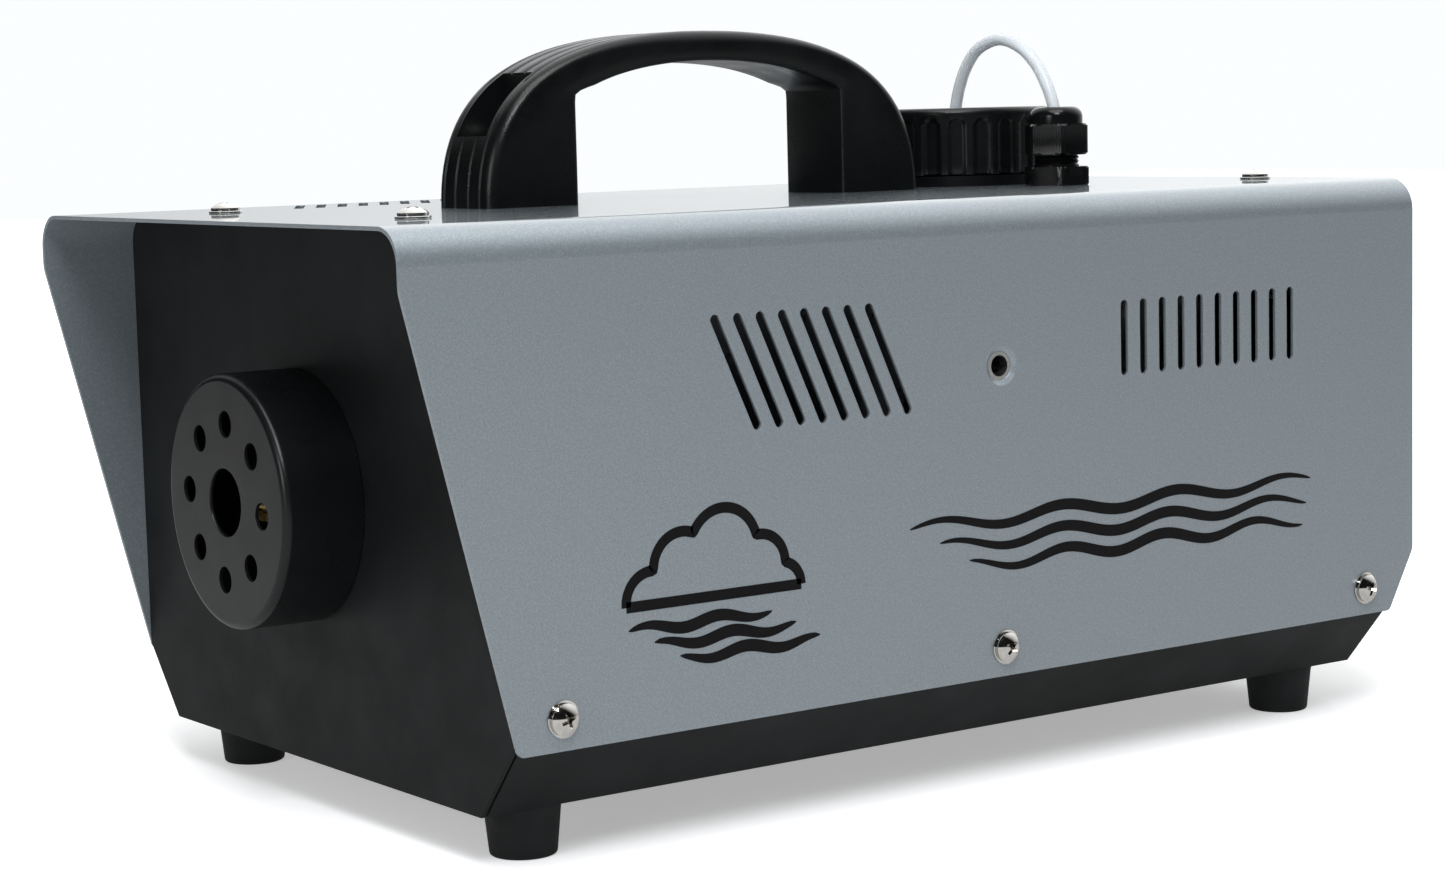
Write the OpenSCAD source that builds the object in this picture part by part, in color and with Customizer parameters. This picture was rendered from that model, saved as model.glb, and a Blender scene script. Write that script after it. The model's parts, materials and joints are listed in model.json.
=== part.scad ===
// Stage fog machine: sheet-metal case, heater block, solenoid pump and fluid tank.
// Front faces -Y, +Z up, origin on the standing surface under the middle of the case.

/* [Cover] */
// Width across the cover's two side walls
cover_w = 242; // [238:1:250]
// Length of the cover's top sheet
cover_l = 408; // [404:1:416]
// Height of the cover's top face above the standing surface
cover_top = 189.5; // [187:0.5:194]
// Outer radius of the cover's two long bends
cover_bend = 11; // [8:0.5:13]
// Thickness of the case's sheet metal
sheet = 1.2; // [1:0.1:1.5]
// How far the cover's hood stands in front of the front plate
hood = 32.5; // [30:0.5:36]
// How far the cover reaches behind the rear plate
rear_lip = 11; // [9:0.5:13]

/* [Chassis] */
// Height of the feet, which is the height of the tray's underside
foot_h = 16.2; // [14:0.2:20]
// Sideways reach of the tray's bevel
bevel_x = 19.6; // [16:0.2:22]
// Height of the tray's bevel
bevel_z = 23.2; // [20:0.2:26]
// Height of the tray's upright flange inside the cover
flange_h = 12.6; // [11:0.2:15]
// Widest radius of a rubber foot
foot_r = 11.8; // [10:0.2:13]

/* [Vents] */
// Width of the slots in the side walls
slot_w = 3.2; // [2.8:0.1:3.6]
// Number of upright slots at the rear of each side wall
rear_slots = 10; // [6:1:10]
// Number of leaning slots at the front of each side wall
front_slots = 8; // [5:1:8]
// Lean of the front slots, in degrees
slot_lean = 24.4; // [0:0.2:26]
// Distance between the leaning slots, in the walls and in the top
front_pitch = 8.28; // [8:0.02:9]
// Lean of the slots in the top, in degrees
top_slot_lean = 29; // [20:0.5:32]

/* [Nozzle] */
// Height of the nozzle's axis
nozzle_z = 102; // [98:1:106]
// Sideways place of the jet and its shroud
nozzle_x = -2.5; // [-4:0.5:4]
// Outer radius of the nozzle's shroud
shroud_r = 40; // [37:0.5:42]
// Depth of the nozzle's shroud
shroud_d = 27; // [24:0.5:29]
// Radius of the shroud's rounded rim
shroud_round = 2.5; // [2:0.5:5]

/* [Handle] */
// Length of the handle along the case
handle_l = 178.4; // [172:0.4:182]
// Width of the handle
handle_w = 33; // [30:0.5:36]
// Height of the handle above the cover
handle_h = 56.1; // [54:0.1:58]
// Length of each of the handle's legs at the cover
leg_l = 37; // [34:0.5:40]

/* [Tank] */
// Outer radius of the tank's screw cap
cap_r = 36; // [34:0.5:38]
// Number of grip ribs round the cap
cap_ribs = 24; // [16:1:30]
// Outer diameter of the clear intake hose
hose_d = 4.4; // [3.6:0.2:5]

/* [Hidden] */
$fn = 64;
front_y = -cover_l / 2 + hood;
rear_y = cover_l / 2 - rear_lip;
inner_w = cover_w - 2 * sheet;
inner_top = cover_top - sheet;
tray_w = inner_w;
floor_z = foot_h + sheet;
bend_z = foot_h + bevel_z;
flange_top = bend_z + flange_h;
bevel_ang = atan2(bevel_z, bevel_x);
cover_low = bend_z - 2.4;

// Screws and nuts
screw_r = 2.4;
screw_hole_r = 2.6;
side_screw_y = [front_y + 16.1, 12.5, rear_y - 13.6];
side_screw_z = 46.4;
front_top_screw = [61.5, front_y + 6.75];
rear_top_screw = [65, rear_y - 9.5];
foot_x = 87.6;
foot_y = [-149.7, 170.5];
nut_af = 8;

// Hanging point in each side wall
hang_y = 12.5;
hang_z = 136.4;
hang_bore_r = 3.4;
hang_nut_l = 6.5;

// Handle
handle_y = -22;
handle_screw_in = 17;
handle_screw_y = [handle_y - handle_l / 2 + handle_screw_in,
    handle_y + handle_l / 2 - handle_screw_in];
pocket_h = 23;
pocket_w = 18.4;

// Tank, cap and gland
cap_x = -20;
cap_y = 112.5;
gland_x = 36;
gland_y = 113.5;
tank_x = [-78, 38];
tank_y = [66, 186];
tank_z = [floor_z + sheet, 150];
tank_wall = 2;
neck_r = 29;
ring_h = 3.8;
cap_z = cover_top + ring_h + 0.3;
cap_top = cover_top + 28.1;
neck_top = cap_top - 5.4;
hose_r = hose_d / 2;

// Pump, with its axis along Y
pump_x = 80;
pump_z = 64;
pump_y = [4, 92];
coil_y = [28, 66];
piston_y = [34, 58];

// Heater, with its axis along Y
heater_y = [-150, -52];
heater_w = 68;
heater_h = 56;
lagging = 9;
bulkhead_y = -20;

// Control board
board_x = [-94, -24];
board_y = [0, 54];
board_z = floor_z + 8;

// Rear plate fittings
fit_x = 76;
inlet_z = 54;
switch_z = 98;
fuse_z = 126;
remote_z = 154;
window_x = -20;
window_z = [48, 142];

// Routes of the hose, the pipe and the wires
hose_route = [[-20, 112.5, 40], [-20, 112.5, 120], [-20, 112.5, 190], [-19.4, 112.5, 206],
    [-17.9, 112.5, 216.6], [-15.9, 112.6, 224.3], [-11.6, 112.7, 232.5],
    [-4.6, 112.8, 239], [6.8, 113, 241.9], [18, 113.2, 238.6], [26.4, 113.3, 232],
    [31.8, 113.4, 224.3], [34.5, 113.5, 218], [35.8, 113.5, 212], [36, 113.5, 200],
    [36, 113.5, 176], [45, 116, 142], [66, 122, 112], [80, 128, 90], [84, 126, 74],
    [82, 114, 65], [80, 102, 64], [80, 92.4, 64]];
pipe_route = [[80, 3.7, 64], [80, -20, 64], [78, -30, 68], [66, -35, 80], [46, -35, 94],
    [31, -35, 101], [22, -38, 102], [20, -43, 102], [20, -47.5, 102]];
heater_wire_route = [[-26.4, 38, 33], [-18, 37, 34], [-13, 20, 36], [-20, -2, 38],
    [-44, -9, 40], [-68, -12, 41], [-74, -24, 42], [-70, -34, 50], [-52, -38, 68],
    [-32, -35, 82], [-21, -34, 89], [-18, -38, 90], [-18, -43, 90]];
mains_wire_route = [[71, 176.4, 98], [70, 166, 96], [62, 156, 84], [56, 144, 62],
    [54, 120, 40], [54, 90, 26], [48, 66, 23], [30, 56, 23], [6, 48, 24], [-8, 34, 27],
    [-17, 25, 32], [-26.4, 24, 33]];

// ---- shared shapes ----

// Extrudes an outline drawn in Y and Z along X, centred on X = 0
module along_x(len)
    rotate([90, 0, 90]) linear_extrude(height = len, center = true) children();

// Extrudes an outline drawn in X and Z from y0 to y1
module along_y(y0, y1)
    translate([0, y1, 0]) rotate([90, 0, 0]) linear_extrude(height = y1 - y0) children();

// Stands a shape modelled on +Z on a face that looks towards -Y
module facing_front(x, y, z) translate([x, y, z]) rotate([90, 0, 0]) children();

// Stands a shape modelled on +Z on a face that looks towards +Y
module facing_rear(x, y, z) translate([x, y, z]) rotate([-90, 0, 0]) children();

// Flat-topped outline with two rounded upper corners
module arch_outline(w, h, r) {
    translate([-w / 2, 0]) square([w, h - r]);
    translate([r - w / 2, 0]) square([w - 2 * r, h]);
    for (s = [-1, 1]) translate([s * (w / 2 - r), h - r]) circle(r = r);
}

// Rectangle with rounded corners, centred
module round_rect(w, h, r) {
    square([w, h - 2 * r], center = true);
    square([w - 2 * r, h], center = true);
    for (x = [-1, 1], y = [-1, 1]) translate([x * (w / 2 - r), y * (h / 2 - r)]) circle(r = r);
}

// Round-ended slot with its long side upright, centred
module slot_outline(w, len) {
    square([w, len - w], center = true);
    for (s = [-1, 1]) translate([0, s * (len - w) / 2]) circle(d = w);
}

// Box given by its lowest and highest corner
module span(low, high) translate(low) cube(high - low);

// Tube round +Z
module ring(r_out, r_in, h) difference() {
    cylinder(r = r_out, h = h);
    translate([0, 0, -1]) cylinder(r = r_in, h = h + 2);
}

// Pan-head cross-recess screw with a pressed-on washer, seated on z = 0
module pan_screw(head_r, head_h, shank_l) {
    edge = 0.35 * head_h;
    dome = head_h - edge;
    dome_r = (head_r * head_r + dome * dome) / (2 * dome);
    washer = 0.7;
    difference() {
        union() {
            cylinder(r = head_r + 0.7, h = washer);
            translate([0, 0, washer]) rotate_extrude() intersection() {
                translate([0, head_h - dome_r]) circle(r = dome_r);
                square([head_r, head_h]);
            }
            translate([0, 0, -shank_l]) cylinder(r = screw_r, h = shank_l);
        }
        for (a = [45, 135]) rotate(a) translate([0, 0, head_h + washer])
            cube([head_r * 1.1, 1, 2.8], center = true);
    }
}

// Hexagonal nut standing on z = 0
module hex_nut(af, h, hole_r) difference() {
    cylinder(d = af / cos(30), h = h, $fn = 6);
    translate([0, 0, -1]) cylinder(r = hole_r, h = h + 2);
}

// Point on a smooth curve through p[1] and p[2]
function through(p, t) = 0.5 * (2 * p[1] + (p[2] - p[0]) * t
    + (2 * p[0] - 5 * p[1] + 4 * p[2] - p[3]) * t * t
    + (3 * p[1] - p[0] - 3 * p[2] + p[3]) * t * t * t);
function smooth(route, n) = concat([for (i = [0:len(route) - 2], k = [0:n - 1])
    through([route[max(i - 1, 0)], route[i], route[i + 1],
        route[min(i + 2, len(route) - 1)]], k / n)], [route[len(route) - 1]]);
function unit(v) = v / norm(v);
function heading(path, i) = unit(path[min(i + 1, len(path) - 1)] - path[max(i - 1, 0)]);
// The first frame's side vector, carried along the path without twisting
function carried(path, i, side) = unit(side - (side * heading(path, i)) * heading(path, i));
function sides(path, i, side) = i == len(path) ? []
    : let (s = carried(path, i, side)) concat([s], sides(path, i + 1, s));

// Round rod swept along a path
module swept(path, r, n, first_side) {
    side = sides(path, 0, first_side);
    last = len(path) - 1;
    points = [for (i = [0:last], k = [0:n - 1])
        path[i] + r * (cos(360 * k / n) * side[i]
            + sin(360 * k / n) * cross(heading(path, i), side[i]))];
    walls = [for (i = [0:last - 1], k = [0:n - 1], half = [0, 1]) let (m = (k + 1) % n)
        half == 0 ? [i * n + k, (i + 1) * n + k, (i + 1) * n + m]
            : [i * n + k, (i + 1) * n + m, i * n + m]];
    ends = [[for (k = [0:n - 1]) k], [for (k = [n - 1:-1:0]) last * n + k]];
    polyhedron(points = points, faces = concat(walls, ends));
}

// ---- case ----

module cover_slots() {
    rear_first = 65.5;
    rear_pitch = 8.54;
    front_first = -91.2;
    for (i = [0:rear_slots - 1]) translate([rear_first + i * rear_pitch, 142])
        slot_outline(slot_w, 24.7);
    for (i = [0:front_slots - 1]) translate([front_first + i * front_pitch, 141.7])
        rotate(slot_lean) slot_outline(slot_w, 38.4);
}

// Point p turned by the angle a about the origin
function turned(p, a) = [p.x * cos(a) - p.y * sin(a), p.x * sin(a) + p.y * cos(a)];
// Arc of radius r that rounds the corner b between the points a and c
function fillet(a, b, c, r, n = 6) = let (u = unit(a - b), v = unit(c - b),
    half = acos(u * v) / 2, mid = b + unit(u + v) * r / sin(half),
    start = b + u * r / tan(half) - mid, way = sign(cross(start, b + v * r / tan(half) - mid)))
    [for (i = [0:n]) mid + turned(start, way * (180 - 2 * half) * i / n)];

module cover_side_outline() {
    end_y = cover_l / 2;
    // Height at which the hood's front edge starts to slant back
    hood_low = 171.5;
    corners = [[-end_y, cover_top + 1], [-end_y, hood_low], [front_y + 0.8, cover_low],
        [end_y - 12, cover_low], [end_y, cover_low + 20.9], [end_y, cover_top + 1]];
    radii = [0, 16, 2.5, 2.5, 5, 0];
    polygon([for (i = [0:5]) each radii[i] == 0 ? [corners[i]]
        : fillet(corners[i - 1], corners[i], corners[i + 1], radii[i])]);
}

module top_cover() color([0.56, 0.6, 0.62]) difference() {
    intersection() {
        along_y(-cover_l / 2, cover_l / 2) difference() {
            arch_outline(cover_w, cover_top, cover_bend);
            translate([0, -1]) arch_outline(inner_w, inner_top + 1, cover_bend - sheet);
        }
        along_x(cover_w + 2) cover_side_outline();
    }
    along_x(cover_w + 2) cover_slots();
    for (y = side_screw_y) translate([0, y, side_screw_z]) rotate([0, 90, 0])
        cylinder(r = screw_hole_r, h = cover_w + 2, center = true);
    for (s = [-1, 1]) translate([s * cover_w / 2, hang_y, hang_z]) rotate([0, -90 * s, 0])
        translate([0, 0, -0.01]) cylinder(r1 = 6.3, r2 = 4.5, h = sheet + 0.02);
    translate([0, 0, inner_top - 1]) linear_extrude(height = sheet + 2) {
        for (i = [0:front_slots - 1]) translate([-88, -123.5 + i * front_pitch])
            rotate(90 - top_slot_lean) slot_outline(slot_w, 38.4);
        for (s = [-1, 1]) translate([s * front_top_screw.x, front_top_screw.y])
            circle(r = screw_hole_r);
        for (s = [-1, 1]) translate([s * rear_top_screw.x, rear_top_screw.y])
            circle(r = screw_hole_r);
        for (y = handle_screw_y) translate([0, y]) circle(r = screw_hole_r);
        translate([cap_x, cap_y]) circle(r = neck_r + 0.4);
        translate([gland_x, gland_y]) circle(r = 8.1);
    }
}

// Outline of a plate that closes the case, bevelled at its lower corners
module end_outline() intersection() {
    arch_outline(inner_w, inner_top, cover_bend - sheet);
    polygon([[bevel_x - tray_w / 2, foot_h], [tray_w / 2 - bevel_x, foot_h],
        [tray_w / 2, bend_z], [tray_w / 2, cover_top], [-tray_w / 2, cover_top],
        [-tray_w / 2, bend_z]]);
}

module tray_outline() {
    low = tray_w / 2 - bevel_x;
    low_in = low - sheet * tan(bevel_ang / 2);
    bend_in = bend_z + sheet * tan(45 - bevel_ang / 2);
    side = tray_w / 2;
    polygon([[-side, flange_top], [-side, bend_z], [-low, foot_h], [low, foot_h],
        [side, bend_z], [side, flange_top], [side - sheet, flange_top],
        [side - sheet, bend_in], [low_in, floor_z], [-low_in, floor_z],
        [sheet - side, bend_in], [sheet - side, flange_top]]);
}

module chassis_tray() color([0.12, 0.12, 0.13]) difference() {
    along_y(front_y + sheet + 0.8, rear_y - sheet) tray_outline();
    for (y = side_screw_y) translate([0, y, side_screw_z]) rotate([0, 90, 0])
        cylinder(r = screw_hole_r, h = cover_w, center = true);
    for (s = [-1, 1], y = foot_y) translate([s * foot_x, y, foot_h - 1])
        cylinder(r = screw_hole_r, h = sheet + 2);
}

// Flanges that turn inwards from an end plate, on the floor and under the cover
module end_flanges(y0, y1, screw) {
    top_half = tray_w / 2 - 20;
    floor_half = tray_w / 2 - bevel_x - 8;
    difference() {
        span([-top_half, y0, inner_top - sheet], [top_half, y1, inner_top]);
        for (s = [-1, 1]) translate([s * screw.x, screw.y, inner_top - sheet - 1])
            cylinder(r = screw_hole_r, h = sheet + 2);
    }
    span([-floor_half, y0, floor_z], [floor_half, y1, floor_z + sheet]);
}

module front_plate() color([0.1, 0.1, 0.11]) difference() {
    union() {
        along_y(front_y, front_y + sheet) end_outline();
        end_flanges(front_y + 0.01, front_y + 13, front_top_screw);
    }
    facing_front(nozzle_x, front_y + sheet + 1, nozzle_z) cylinder(r = 15, h = sheet + 2);
}

module rear_cutouts() {
    translate([fit_x, inlet_z]) square([28, 21], center = true);
    for (s = [-1, 1]) translate([fit_x + 20 * s, inlet_z]) circle(r = 1.7);
    translate([fit_x, switch_z]) square([19.4, 13.2], center = true);
    translate([fit_x, fuse_z]) circle(r = 6.2);
    translate([fit_x, remote_z]) circle(r = 7.8);
    translate([window_x, (window_z[0] + window_z[1]) / 2])
        slot_outline(10, window_z[1] - window_z[0]);
}

module rear_plate() color([0.12, 0.12, 0.13]) difference() {
    union() {
        along_y(rear_y - sheet, rear_y) end_outline();
        end_flanges(rear_y - 15, rear_y - 0.01, rear_top_screw);
    }
    along_y(rear_y - sheet - 1, rear_y + 1) rear_cutouts();
}

module bulkhead() color([0.62, 0.64, 0.64]) difference() {
    union() {
        along_y(bulkhead_y - 0.8, bulkhead_y) polygon([[-96, floor_z], [96, floor_z],
            [112, 38], [112, 172], [100, 184], [-100, 184], [-112, 172], [-112, 38]]);
        span([-90, bulkhead_y - 0.4, floor_z], [90, bulkhead_y + 10, floor_z + 0.8]);
    }
    along_y(bulkhead_y - 2, bulkhead_y + 1) translate([pump_x, pump_z]) circle(r = 5);
    along_y(bulkhead_y - 2, bulkhead_y + 1) translate([-74, 42]) circle(r = 6);
}

module nozzle_shroud() color([0.05, 0.05, 0.055])
    facing_front(nozzle_x, front_y, nozzle_z) difference() {
        rotate_extrude($fn = 96) difference() {
            cup_outline(shroud_r, shroud_d, shroud_round);
            translate([0, -1])
                cup_outline(shroud_r - sheet, shroud_d + 1 - sheet, shroud_round - sheet);
        }
        translate([0, 0, shroud_d - 3]) cylinder(r = 10.6, h = 6);
        for (k = [0:7]) rotate(45 * k - 5) translate([24.6, 0, shroud_d - 3])
            cylinder(r = 4.25, h = 6, $fn = 32);
    }

// Brass jet on a stem from the heater's front face
module nozzle_tip() color([0.78, 0.62, 0.28])
    facing_front(nozzle_x, heater_y[0], nozzle_z) difference() {
        stem = 29;
        hex = 7;
        union() {
            cylinder(r = 5.5, h = stem + 1);
            translate([0, 0, stem]) cylinder(d = 14 / cos(30), h = hex, $fn = 6);
            translate([0, 0, stem + hex]) cylinder(r1 = 6, r2 = 3, h = 5);
        }
        translate([0, 0, -1]) cylinder(r = 1.2, h = stem + hex + 8);
    }

// Half section of a cup with a rounded rim
module cup_outline(r, h, edge) {
    square([r - edge, h]);
    square([r, h - edge]);
    translate([r - edge, h - edge]) circle(r = edge);
}

// ---- handle ----

function bezier(p, t) = pow(1 - t, 3) * p[0] + 3 * t * pow(1 - t, 2) * p[1]
    + 3 * t * t * (1 - t) * p[2] + pow(t, 3) * p[3];
// Half of the handle's outer curve, from its end at the cover to its top
function handle_curve(n) = [for (i = [0:n]) bezier([[0, 0], [0, 0.72 * handle_h],
    [0.35 * handle_l / 2, handle_h], [handle_l / 2, handle_h]], i / n)];
// Half of its inner curve, from the leg's upper corner to the middle of the grip
function grip_curve(n) = [for (i = [0:n]) bezier([[leg_l, handle_h - 20],
    [leg_l + 13, handle_h - 13.5], [handle_l / 2 - 22, handle_h - 10],
    [handle_l / 2, handle_h - 10]], i / n)];

// A half curve followed by its mirror image, sharing the middle point
function both_halves(p) = concat(p,
    [for (i = [len(p) - 2:-1:0]) [handle_l - p[i].x, p[i].y]]);

module handle_outline(n) {
    inner = both_halves(grip_curve(n));
    polygon(concat(both_halves(handle_curve(n)), [[handle_l - leg_l, 0]],
        [for (i = [len(inner) - 1:-1:0]) inner[i]], [[leg_l, 0]]));
}

// Recess in each leg's outer curve, where the fixing screw is reached
module pocket_outline() translate([-1, pocket_h]) square([24, handle_h]);

module carry_handle() color([0.04, 0.04, 0.045])
    translate([0, handle_y, cover_top]) difference() {
        translate([0, -handle_l / 2, 0]) along_x(handle_w) handle_outline(16);
        for (s = [0, 1]) mirror([0, s, 0]) translate([0, -handle_l / 2, 0]) {
            along_x(pocket_w) pocket_outline();
            translate([0, handle_screw_in, -1]) cylinder(r = screw_hole_r, h = pocket_h + 2);
        }
    }

// ---- fasteners ----

module top_screws() color([0.8, 0.79, 0.76]) for (s = [-1, 1]) {
    translate([s * front_top_screw.x, front_top_screw.y, cover_top]) pan_screw(4.8, 2.8, 8);
    translate([s * rear_top_screw.x, rear_top_screw.y, cover_top]) pan_screw(4.8, 2.8, 8);
}

module side_screws() color([0.8, 0.79, 0.76]) for (s = [-1, 1], y = side_screw_y)
    translate([s * cover_w / 2, y, side_screw_z]) rotate([0, 90 * s, 0]) pan_screw(4.8, 2.8, 8);

module hex_nuts() color([0.7, 0.7, 0.68]) {
    nut_h = 4;
    for (y = handle_screw_y) translate([0, y, inner_top - nut_h])
        hex_nut(nut_af, nut_h, screw_hole_r);
    for (s = [-1, 1], y = foot_y) translate([s * foot_x, y, floor_z])
        hex_nut(nut_af, nut_h, screw_hole_r);
}

module hanging_nuts() color([0.7, 0.7, 0.68]) for (s = [-1, 1])
    translate([s * inner_w / 2, hang_y, hang_z]) rotate([0, -90 * s, 0]) difference() {
        cylinder(d = 13 / cos(30), h = hang_nut_l, $fn = 6);
        translate([0, 0, -1]) cylinder(r = hang_bore_r, h = hang_nut_l + 2);
    }

module foot(side, y) color([0.07, 0.07, 0.07]) translate([side * foot_x, y, 0]) difference() {
    cylinder(r1 = foot_r - 1.5, r2 = foot_r, h = foot_h);
    translate([0, 0, -1]) cylinder(r = 5.2, h = 8);
    cylinder(r = screw_hole_r, h = foot_h + 1);
}

module foot_front_left() foot(-1, foot_y[0]);
module foot_front_right() foot(1, foot_y[0]);
module foot_rear_left() foot(-1, foot_y[1]);
module foot_rear_right() foot(1, foot_y[1]);

// Screws that hold the handle and the feet
module long_screws() color([0.7, 0.7, 0.68]) {
    for (y = handle_screw_y) translate([0, y, cover_top + pocket_h]) pan_screw(4.6, 2.8, 30);
    for (s = [-1, 1], y = foot_y) translate([s * foot_x, y, 7])
        mirror([0, 0, 1]) pan_screw(4.2, 2.2, 15);
}

// ---- fluid ----

module fluid_tank() color([0.9, 0.9, 0.86, 0.8]) difference() {
    size = [tank_x[1] - tank_x[0], tank_y[1] - tank_y[0]];
    corner = 6;
    translate([(tank_x[0] + tank_x[1]) / 2, (tank_y[0] + tank_y[1]) / 2, tank_z[0]])
        difference() {
            linear_extrude(height = tank_z[1] - tank_z[0]) round_rect(size.x, size.y, corner);
            translate([0, 0, tank_wall])
                linear_extrude(height = tank_z[1] - tank_z[0] - 2 * tank_wall)
                    round_rect(size.x - 2 * tank_wall, size.y - 2 * tank_wall,
                        corner - tank_wall);
        }
    translate([cap_x, cap_y, tank_z[1] - tank_wall - 1])
        cylinder(r = neck_r + 0.05, h = tank_wall + 2);
}

// Threaded neck welded into the tank's top, with a small flange
module tank_neck() color([0.9, 0.9, 0.86, 0.8]) translate([cap_x, cap_y, 0]) {
    translate([0, 0, tank_z[1] - tank_wall])
        ring(neck_r, neck_r - tank_wall, neck_top - tank_z[1] + tank_wall);
    translate([0, 0, tank_z[1]]) ring(neck_r + 1.2, neck_r - tank_wall, 2);
}

module tank_strap() color([0.66, 0.67, 0.68]) {
    // Flat steel band over the tank, bent out to a foot at each end
    y0 = 78;
    y1 = 92;
    top = tank_z[1];
    t = 0.8;
    strap_x = [tank_x[0] - t - 0.2, tank_x[1] + 0.2];
    span([strap_x[0], y0 - 6, floor_z], [strap_x[0] + t, y1 - 6, top + t]);
    span([strap_x[1], y0 - 6, floor_z], [strap_x[1] + t, y1 - 6, top + t]);
    span([strap_x[0], y0 - 6, top], [strap_x[1] + t, y0 + 4, top + t]);
    span([strap_x[0] - 10, y0 - 6, floor_z], [strap_x[0] + t, y1 - 6, floor_z + t]);
    span([strap_x[1], y0 - 6, floor_z], [strap_x[1] + 10, y1 - 6, floor_z + t]);
}

module neck_ring() color([0.06, 0.06, 0.065])
    translate([cap_x, cap_y, cover_top]) ring(cap_r - 0.2, neck_r + 0.4, ring_h);

module tank_cap() color([0.04, 0.04, 0.045]) translate([cap_x, cap_y, cap_z]) {
    h = cap_top - cap_z;
    edge = 2;
    groove_w = 5.2;
    difference() {
        rotate_extrude($fn = 96) cup_outline(cap_r, h, edge);
        for (k = [0:cap_ribs - 1]) rotate(360 * (k + 0.5) / cap_ribs)
            translate([cap_r - 1, -groove_w / 2, -1]) cube([3, groove_w, h - 4.5]);
        translate([0, 0, -1]) cylinder(r = neck_r + 0.6, h = neck_top - cap_z + 3.1);
        translate([0, 0, -1]) cylinder(r = 6.6, h = h + 2);
    }
}

module cap_liner() color([0.85, 0.85, 0.82])
    translate([cap_x, cap_y, neck_top]) ring(neck_r, 5.4, 2);

module intake_hose() color([0.85, 0.88, 0.9, 0.6])
    swept(smooth(hose_route, 3), hose_r, 12, [0, 1, 0]);

module intake_strainer() color([0.7, 0.6, 0.3])
    translate([hose_route[0].x, hose_route[0].y, tank_z[0] + tank_wall + 1]) {
        ring(6, hose_r + 0.1, hose_route[0].z + 6 - tank_z[0] - tank_wall - 1);
    }

module gland_body() color([0.05, 0.05, 0.055]) translate([gland_x, gland_y, 0]) difference() {
    union() {
        translate([0, 0, cover_top]) cylinder(d = 21 / cos(30), h = 6.6, $fn = 6);
        translate([0, 0, cover_top + 6]) cylinder(r = 8, h = 12);
        translate([0, 0, cover_top - 11]) cylinder(r = 7.9, h = 12);
    }
    translate([0, 0, cover_top - 12]) cylinder(r = hose_r + 1.1, h = 40);
}

module gland_nut() color([0.04, 0.04, 0.045])
    translate([gland_x, gland_y, cover_top + 10.7]) difference() {
        hex_h = 11;
        union() {
            cylinder(d = 20.5 / cos(30), h = hex_h, $fn = 6);
            translate([0, 0, hex_h]) rotate_extrude() cup_outline(9.4, 6, 3);
        }
        translate([0, 0, -1]) cylinder(r = 8.1, h = 9);
        translate([0, 0, -1]) cylinder(r = 4.6, h = 20);
    }

module gland_seal() color([0.09, 0.09, 0.09])
    translate([gland_x, gland_y, cover_top + 18]) ring(4.5, hose_r + 0.02, 5);

module gland_locknut() color([0.05, 0.05, 0.055])
    translate([gland_x, gland_y, inner_top - 5]) hex_nut(21, 5, 8);

module level_window() color([0.8, 0.84, 0.86, 0.4])
    along_y(rear_y - sheet - 2, rear_y - sheet)
        translate([window_x, (window_z[0] + window_z[1]) / 2])
            round_rect(20, window_z[1] - window_z[0] + 10, 2);

// ---- pump ----

module pump_coil() color([0.1, 0.1, 0.12]) difference() {
    along_y(coil_y[0], coil_y[1]) translate([pump_x, pump_z]) round_rect(34, 36, 4);
    facing_front(pump_x, coil_y[1] + 1, pump_z) cylinder(r = 9.1, h = 60);
}

module pump_yoke() color([0.6, 0.61, 0.62]) difference() {
    t = 1.6;
    along_y(coil_y[0] - t, coil_y[1] + t) translate([pump_x, pump_z])
        square([42, 36 + 2 * t], center = true);
    along_y(coil_y[0], coil_y[1]) translate([pump_x, pump_z]) square([50, 36], center = true);
    facing_front(pump_x, coil_y[1] + 10, pump_z) cylinder(r = 9.1, h = 60);
}

module pump_body() color([0.72, 0.58, 0.28]) facing_rear(pump_x, 0, pump_z) difference() {
    union() {
        translate([0, 0, pump_y[0] + 8]) cylinder(r = 9, h = pump_y[1] - pump_y[0] - 16);
        translate([0, 0, pump_y[0] + 6]) cylinder(d = 14 / cos(30), h = 6, $fn = 6);
        translate([0, 0, pump_y[0]]) cylinder(r = 3.4, h = 10);
        translate([0, 0, pump_y[1] - 10]) cylinder(r = 2.4, h = 10);
    }
    translate([0, 0, piston_y[0] - 2]) cylinder(r = 6, h = 44);
    translate([0, 0, pump_y[0] - 1]) cylinder(r = 1, h = 100);
}

module pump_piston() color([0.75, 0.76, 0.77]) facing_rear(pump_x, 0, pump_z) difference() {
    translate([0, 0, piston_y[0]]) cylinder(r = 5.94, h = piston_y[1] - piston_y[0]);
    translate([0, 0, piston_y[0] - 1]) cylinder(r = 1.5, h = 40);
}

module pump_spring() color([0.75, 0.75, 0.72]) {
    turns = 5;
    steps = 14;
    wire = 0.45;
    length = piston_y[0] + 42 - piston_y[1] - 2 * wire;
    coil = [for (i = [0:turns * steps]) let (a = 360 * i / steps)
        [pump_x + 4.4 * cos(a), piston_y[1] + wire + length * i / (turns * steps),
            pump_z + 4.4 * sin(a)]];
    swept(coil, wire, 8, [1, 0, 0]);
}

module pump_cradle() color([0.12, 0.12, 0.13]) difference() {
    union() {
        span([pump_x - 20, 17, floor_z], [pump_x + 14, 77, floor_z + sheet]);
        for (y = [17, 77 - sheet]) span([pump_x - 16, y, floor_z], [pump_x + 14, y + sheet, 80]);
    }
    facing_front(pump_x, 90, pump_z) cylinder(r = 11, h = 90);
}

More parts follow.
